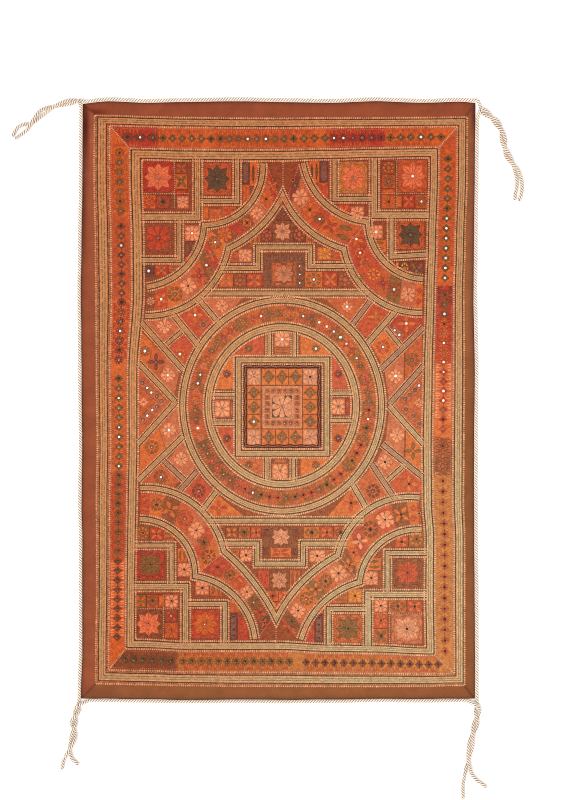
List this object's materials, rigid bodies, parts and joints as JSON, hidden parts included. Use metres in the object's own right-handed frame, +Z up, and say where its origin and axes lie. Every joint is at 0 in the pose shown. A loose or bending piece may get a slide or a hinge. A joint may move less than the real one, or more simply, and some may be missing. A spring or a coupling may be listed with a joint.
{
  "type": "mirror embroidered patchwork panel",
  "caption": "Rectangular patchwork cloth with mirror embroidery, a medallion, scalloped corners, braided seams, a mitred border, and a twisted cord edge that ends in corner ties",
  "frame": {"origin": "On the surface that the panel lies on, under the middle of the cloth and its edge cord, leaving out the ties", "axes": "+X to the right of the cloth, +Y towards its top edge, +Z up out of its face"},
  "size_m": [1.3018, 1.7789, 0.0193],
  "materials": {
    "border_cotton": "plain woven brown cotton",
    "band_cotton": "embroidered orange cotton",
    "patchwork": "embroidered patches in reds and oranges",
    "braid": "couched cotton braid",
    "cord": "three strand twisted cotton",
    "thread": "cotton embroidery thread",
    "mirror": "small rounds of thin mirror glass"
  },
  "bodies": {
    "root": {"border_top": "border_cotton", "border_right": "border_cotton", "border_bottom": "border_cotton", "border_left": "border_cotton", "mirror_band_top": "band_cotton", "mirror_band_right": "band_cotton", "mirror_band_bottom": "band_cotton", "mirror_band_left": "band_cotton", "patchwork_field": "patchwork", "outer_braid_top": "braid", "outer_braid_right": "braid", "outer_braid_bottom": "braid", "outer_braid_left": "braid", "inner_braid_top": "braid", "inner_braid_right": "braid", "inner_braid_bottom": "braid", "inner_braid_left": "braid", "medallion_braid_outer": "braid", "medallion_braid_inner": "braid", "square_braid": "braid", "scallop_small_top_left": "braid", "scallop_large_top_left": "braid", "scallop_small_top_right": "braid", "scallop_large_top_right": "braid", "scallop_small_bottom_left": "braid", "scallop_large_bottom_left": "braid", "scallop_small_bottom_right": "braid", "scallop_large_bottom_right": "braid", "edge_cord_top": "cord", "edge_cord_right": "cord", "edge_cord_bottom": "cord", "edge_cord_left": "cord", "tie_top_left_from_top": "cord", "tie_top_left_from_left": "cord", "tie_top_right_from_top": "cord", "tie_top_right_from_right": "cord", "tie_bottom_right_from_right": "cord", "tie_bottom_right_from_bottom": "cord", "tie_bottom_left_from_bottom": "cord", "tie_bottom_left_from_left": "cord"}
  },
  "joints": []
}
